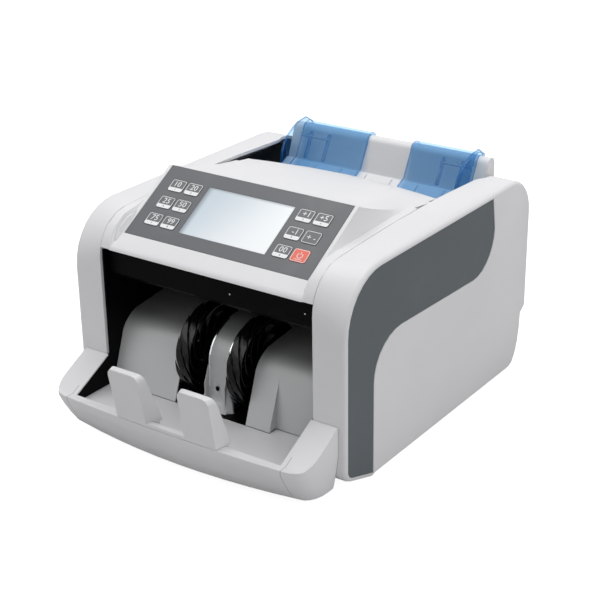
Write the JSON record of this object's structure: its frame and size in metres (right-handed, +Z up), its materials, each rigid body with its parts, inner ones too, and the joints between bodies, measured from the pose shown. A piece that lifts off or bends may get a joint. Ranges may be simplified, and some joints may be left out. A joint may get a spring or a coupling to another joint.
{
  "type": "banknote counter",
  "caption": "Desktop banknote counter with rear hopper, blue side guides, sloping key panel with display, and front stacker tray with a two-tab stop.",
  "frame": {"origin": "under the middle of the counter's box, on the surface that its feet stand on", "axes": "+X to the operator's right, +Y from the stacker at the front to the hopper at the back, +Z up"},
  "size_m": [0.27, 0.358, 0.2088],
  "materials": {
    "body_white": "fine satin grain",
    "inlay_grey": "satin",
    "overlay_grey": "satin film",
    "display_glass": "smooth, lit from behind",
    "module_metal": "satin",
    "board_green": "solder mask",
    "base_grey": "satin",
    "black_plastic": "semi gloss",
    "chassis_steel": "zinc plated sheet",
    "shaft_steel": "ground",
    "sheet_grey": "satin",
    "nose_grey": "semi gloss",
    "wheel_black": "glossy flexible vanes",
    "guide_blue": "clear tinted",
    "roller_rubber": "matte",
    "retard_rubber": "matte",
    "motor_metal": "satin",
    "pulley_black": "satin",
    "belt_rubber": "matte",
    "inlet_black": "satin",
    "rocker_red": "glossy",
    "key_white": "printed film",
    "key_red": "printed film",
    "foot_rubber": "matte"
  },
  "bodies": {
    "counter": {"base_pan": "base_grey", "left_side_cover": "body_white", "right_side_cover": "body_white", "left_side_inlay": "inlay_grey", "right_side_inlay": "inlay_grey", "centre_cover": "body_white", "panel_overlay": "overlay_grey", "display_lens": "display_glass", "display_module": "module_metal", "control_board": "board_green", "main_board": "board_green", "rear_cover": "body_white", "front_tray": "body_white", "note_stop": "body_white", "upper_guide": "black_plastic", "left_liner": "black_plastic", "right_liner": "black_plastic", "left_chassis_plate": "chassis_steel", "right_chassis_plate": "chassis_steel", "tie_rod": "shaft_steel", "stacker_backplate": "sheet_grey", "centre_nose": "nose_grey", "hopper_floor": "body_white", "hopper_backrest": "body_white", "feed_bed": "black_plastic", "retard_roller": "retard_rubber", "retard_bracket": "chassis_steel", "drive_motor": "motor_metal", "drive_belt": "belt_rubber", "pickup_belt": "belt_rubber", "power_inlet": "inlet_black", "foot_front_left": "foot_rubber", "foot_front_right": "foot_rubber", "foot_rear_left": "foot_rubber", "foot_rear_right": "foot_rubber"},
    "feed_group": {"feed_shaft": "shaft_steel", "feed_roller": "roller_rubber", "feed_pulley": "pulley_black"},
    "pickup_group": {"pickup_shaft": "shaft_steel", "pickup_roller": "roller_rubber"},
    "stacker_group": {"stacker_shaft": "shaft_steel", "left_stacker_wheel": "wheel_black", "right_stacker_wheel": "wheel_black", "stacker_pulley": "pulley_black"},
    "motor_rotor": {"motor_pulley": "pulley_black"},
    "left_guide": {"left_note_guide": "guide_blue"},
    "right_guide": {"right_note_guide": "guide_blue"},
    "rocker": {"power_rocker": "rocker_red"},
    "key_left_outer_3_body": {"key_left_outer_3": "key_white"},
    "key_left_outer_2_body": {"key_left_outer_2": "key_white"},
    "key_left_outer_1_body": {"key_left_outer_1": "key_white"},
    "key_left_inner_3_body": {"key_left_inner_3": "key_white"},
    "key_left_inner_2_body": {"key_left_inner_2": "key_white"},
    "key_left_inner_1_body": {"key_left_inner_1": "key_white"},
    "key_right_outer_3_body": {"key_right_outer_3": "key_white"},
    "key_right_outer_2_body": {"key_right_outer_2": "key_white"},
    "key_right_outer_1_body": {"key_right_outer_1": "key_red"},
    "key_right_inner_3_body": {"key_right_inner_3": "key_white"},
    "key_right_inner_2_body": {"key_right_inner_2": "key_white"},
    "key_right_inner_1_body": {"key_right_inner_1": "key_white"}
  },
  "joints": [
    {"name": "feed_spin", "type": "hinge", "parent": "counter", "child": "feed_group", "pos_m": [0, 0.05374, 0.10373], "axis": [1, 0, 0], "continuous": true},
    {"name": "pickup_spin", "type": "hinge", "parent": "counter", "child": "pickup_group", "pos_m": [0, 0.10596, 0.13072], "axis": [1, 0, 0], "continuous": true},
    {"name": "stacker_spin", "type": "hinge", "parent": "counter", "child": "stacker_group", "pos_m": [0, -0.077, 0.072], "axis": [1, 0, 0], "continuous": true},
    {"name": "motor_spin", "type": "hinge", "parent": "counter", "child": "motor_rotor", "pos_m": [0, -0.001, 0.042], "axis": [1, 0, 0], "continuous": true},
    {"name": "left_guide_slide", "type": "slide", "parent": "counter", "child": "left_guide", "axis": [1, 0, 0], "range_m": [-0.01, 0.018]},
    {"name": "right_guide_slide", "type": "slide", "parent": "counter", "child": "right_guide", "axis": [-1, 0, 0], "range_m": [-0.01, 0.018]},
    {"name": "rocker_tilt", "type": "hinge", "parent": "counter", "child": "rocker", "pos_m": [0.0455, 0.17096, 0.094], "axis": [-1, 0, 0], "range_deg": [0, 18]},
    {"name": "press_left_outer_3", "type": "slide", "parent": "counter", "child": "key_left_outer_3_body", "axis": [0, 0.5171, -0.8559], "range_m": [0, 0.0005], "stiffness_N_per_m": 1500, "springref_m": -0.0002},
    {"name": "press_left_outer_2", "type": "slide", "parent": "counter", "child": "key_left_outer_2_body", "axis": [0, 0.5171, -0.8559], "range_m": [0, 0.0005], "stiffness_N_per_m": 1500, "springref_m": -0.0002},
    {"name": "press_left_outer_1", "type": "slide", "parent": "counter", "child": "key_left_outer_1_body", "axis": [0, 0.5171, -0.8559], "range_m": [0, 0.0005], "stiffness_N_per_m": 1500, "springref_m": -0.0002},
    {"name": "press_left_inner_3", "type": "slide", "parent": "counter", "child": "key_left_inner_3_body", "axis": [0, 0.5171, -0.8559], "range_m": [0, 0.0005], "stiffness_N_per_m": 1500, "springref_m": -0.0002},
    {"name": "press_left_inner_2", "type": "slide", "parent": "counter", "child": "key_left_inner_2_body", "axis": [0, 0.5171, -0.8559], "range_m": [0, 0.0005], "stiffness_N_per_m": 1500, "springref_m": -0.0002},
    {"name": "press_left_inner_1", "type": "slide", "parent": "counter", "child": "key_left_inner_1_body", "axis": [0, 0.5171, -0.8559], "range_m": [0, 0.0005], "stiffness_N_per_m": 1500, "springref_m": -0.0002},
    {"name": "press_right_outer_3", "type": "slide", "parent": "counter", "child": "key_right_outer_3_body", "axis": [0, 0.5171, -0.8559], "range_m": [0, 0.0005], "stiffness_N_per_m": 1500, "springref_m": -0.0002},
    {"name": "press_right_outer_2", "type": "slide", "parent": "counter", "child": "key_right_outer_2_body", "axis": [0, 0.5171, -0.8559], "range_m": [0, 0.0005], "stiffness_N_per_m": 1500, "springref_m": -0.0002},
    {"name": "press_right_outer_1", "type": "slide", "parent": "counter", "child": "key_right_outer_1_body", "axis": [0, 0.5171, -0.8559], "range_m": [0, 0.0005], "stiffness_N_per_m": 1500, "springref_m": -0.0002},
    {"name": "press_right_inner_3", "type": "slide", "parent": "counter", "child": "key_right_inner_3_body", "axis": [0, 0.5171, -0.8559], "range_m": [0, 0.0005], "stiffness_N_per_m": 1500, "springref_m": -0.0002},
    {"name": "press_right_inner_2", "type": "slide", "parent": "counter", "child": "key_right_inner_2_body", "axis": [0, 0.5171, -0.8559], "range_m": [0, 0.0005], "stiffness_N_per_m": 1500, "springref_m": -0.0002},
    {"name": "press_right_inner_1", "type": "slide", "parent": "counter", "child": "key_right_inner_1_body", "axis": [0, 0.5171, -0.8559], "range_m": [0, 0.0005], "stiffness_N_per_m": 1500, "springref_m": -0.0002}
  ],
  "couplings": [
    {"joint": "pickup_spin", "follows": "feed_spin", "ratio": 1},
    {"joint": "stacker_spin", "follows": "feed_spin", "ratio": 1},
    {"joint": "motor_spin", "follows": "feed_spin", "ratio": 2}
  ]
}
